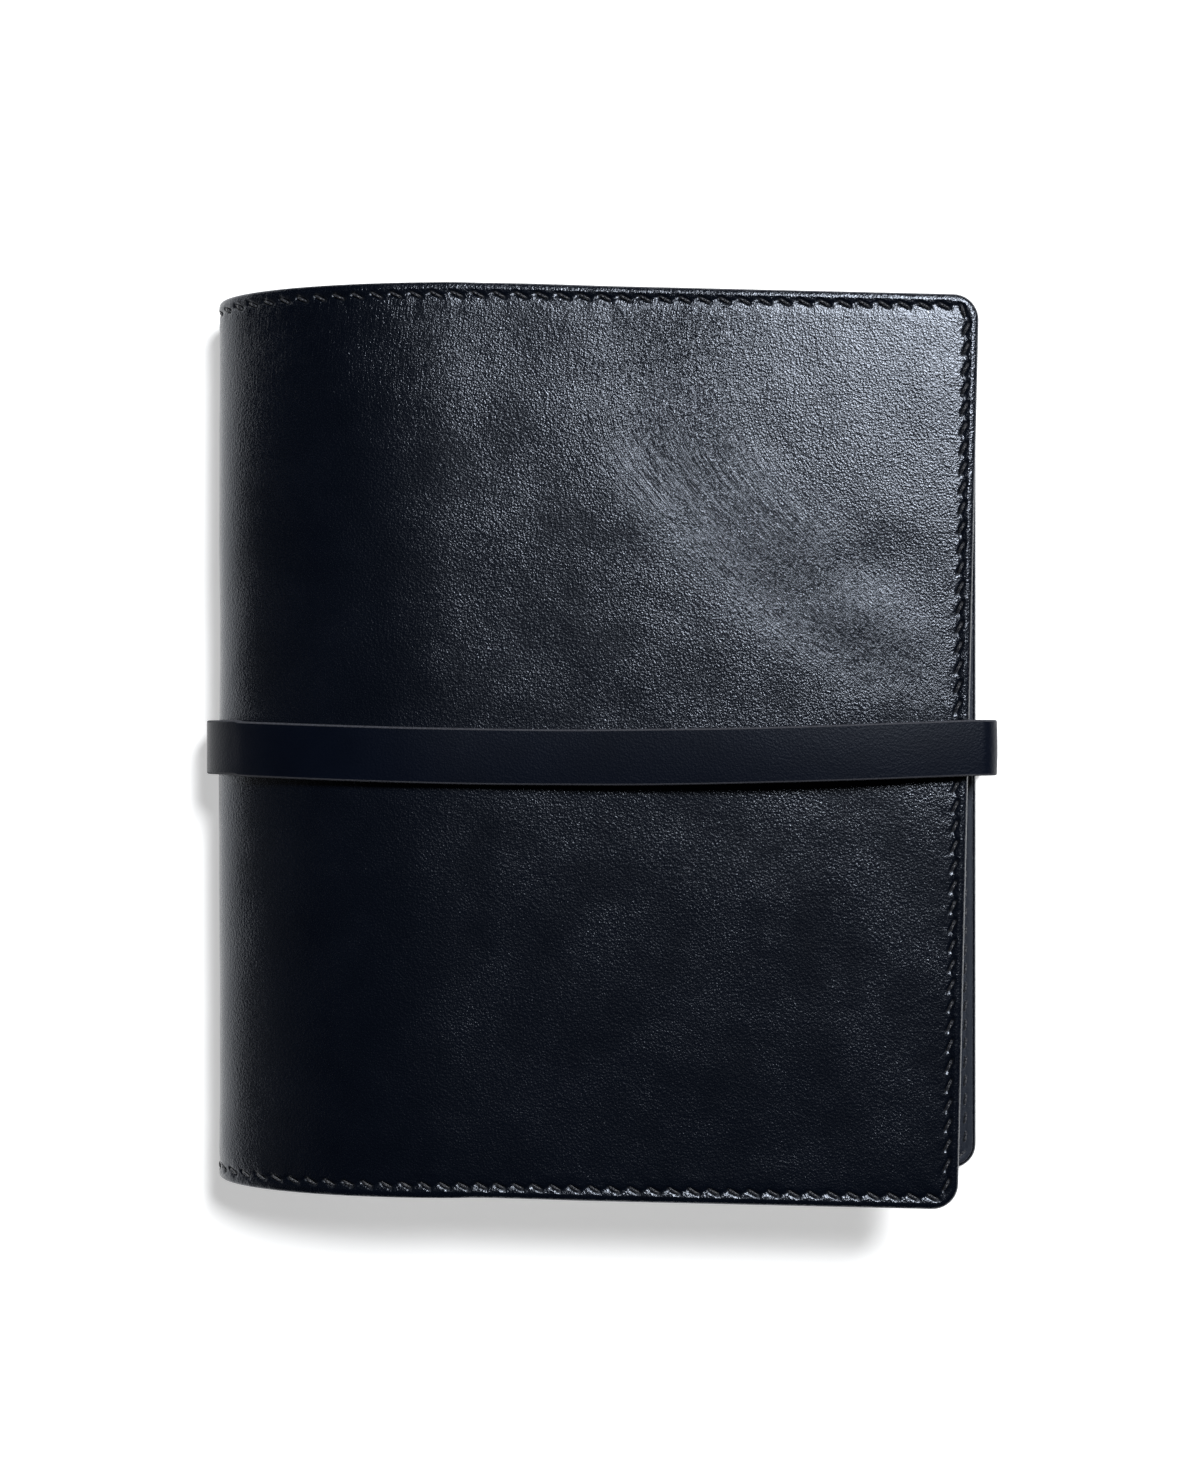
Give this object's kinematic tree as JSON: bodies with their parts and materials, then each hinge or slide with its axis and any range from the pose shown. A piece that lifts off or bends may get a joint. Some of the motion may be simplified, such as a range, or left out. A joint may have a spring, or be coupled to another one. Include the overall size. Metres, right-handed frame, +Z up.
{
  "type": "leather notebook cover",
  "caption": "Ring-bound notebook cover of soft navy leather with rounded spine, stitched edges, slip pockets, paper leaves and a plain leather strap slipped round it.",
  "frame": {"origin": "bottom centre of the closed notebook lying on its back panel with its strap on", "axes": "+X from the spine towards the fore edge, +Y towards the head, +Z up through the front panel"},
  "size_m": [0.2074, 0.2328, 0.0442],
  "materials": {
    "navy_leather": "fine grained navy leather, satin sheen",
    "strap_leather": "smooth navy leather with raw cut edges",
    "lining_leather": "thin smooth navy lining leather",
    "thread": "waxed navy thread",
    "stiffener": "grey-brown bonded board",
    "paper": "matt ivory paper",
    "ring_steel": "bright nickel plated wire",
    "channel_steel": "satin nickel plated sheet"
  },
  "bodies": {
    "back_cover": {"back_leather": "navy_leather", "back_board": "stiffener", "back_lining": "lining_leather", "back_pocket": "lining_leather", "back_stitching": "thread", "ring_channel": "channel_steel", "mechanism_rivets": "channel_steel", "head_lever_pin": "channel_steel", "tail_lever_pin": "channel_steel", "lower_pages": "paper"},
    "spine_back": {"spine_leather_back": "navy_leather", "spine_lining_back": "lining_leather"},
    "spine_front": {"spine_leather_front": "navy_leather", "spine_lining_front": "lining_leather"},
    "front_cover": {"front_leather": "navy_leather", "front_board": "stiffener", "front_lining": "lining_leather", "front_pocket": "lining_leather", "card_pocket_1": "lining_leather", "card_pocket_2": "lining_leather", "card_pocket_3": "lining_leather", "front_stitching": "thread"},
    "turned_pages": {"upper_pages": "paper"},
    "left_rings": {"left_blade": "channel_steel", "left_ring_halves": "ring_steel"},
    "right_rings": {"right_blade": "channel_steel", "right_ring_halves": "ring_steel"},
    "head_lever": {"head_lever": "channel_steel"},
    "tail_lever": {"tail_lever": "channel_steel"},
    "strap": {"strap_band": "strap_leather"}
  },
  "joints": [
    {"name": "cover_open", "type": "hinge", "parent": "back_cover", "child": "spine_back", "pos_m": [-0.0987, 0, 0.0035], "axis": [0, -1, 0], "range_deg": [0, 85]},
    {"name": "spine_bend", "type": "hinge", "parent": "spine_back", "child": "spine_front", "pos_m": [-0.10001, 0, 0.01849], "axis": [0, -1, 0], "range_deg": [0, 63]},
    {"name": "front_bend", "type": "hinge", "parent": "spine_front", "child": "front_cover", "pos_m": [-0.07022, 0, 0.0371], "axis": [0, -1, 0], "range_deg": [0, 32]},
    {"name": "pages_turn", "type": "hinge", "parent": "back_cover", "child": "turned_pages", "pos_m": [-0.06255, 0, 0.019], "axis": [0, -1, 0], "range_deg": [0, 180]},
    {"name": "strap_off", "type": "slide", "parent": "back_cover", "child": "strap", "axis": [0, 1, 0], "range_m": [0, 0.15], "deforming": ["strap_band"]},
    {"name": "rings_open", "type": "hinge", "parent": "back_cover", "child": "left_rings", "pos_m": [-0.0707, 0, 0.0066], "axis": [0, -1, 0], "range_deg": [0, 6.5]},
    {"name": "right_rings_open", "type": "hinge", "parent": "back_cover", "child": "right_rings", "pos_m": [-0.0544, 0, 0.0066], "axis": [0, -1, 0], "range_deg": [-6.5, 0]},
    {"name": "head_lever_press", "type": "hinge", "parent": "back_cover", "child": "head_lever", "pos_m": [-0.06255, 0.10252, 0.00745], "axis": [-1, 0, 0], "range_deg": [0, 16]},
    {"name": "tail_lever_press", "type": "hinge", "parent": "back_cover", "child": "tail_lever", "pos_m": [-0.06255, -0.09948, 0.00745], "axis": [1, 0, 0], "range_deg": [0, 16]}
  ],
  "couplings": [
    {"joint": "spine_bend", "follows": "cover_open", "ratio": 0.74117},
    {"joint": "front_bend", "follows": "cover_open", "ratio": 0.37647},
    {"joint": "pages_turn", "follows": "cover_open", "ratio": 2.1176},
    {"joint": "strap_off", "follows": "cover_open", "m_per_rad": 0.10111},
    {"joint": "right_rings_open", "follows": "rings_open", "ratio": -1},
    {"joint": "head_lever_press", "follows": "rings_open", "ratio": 2.2857},
    {"joint": "tail_lever_press", "follows": "rings_open", "ratio": 2.2857}
  ]
}
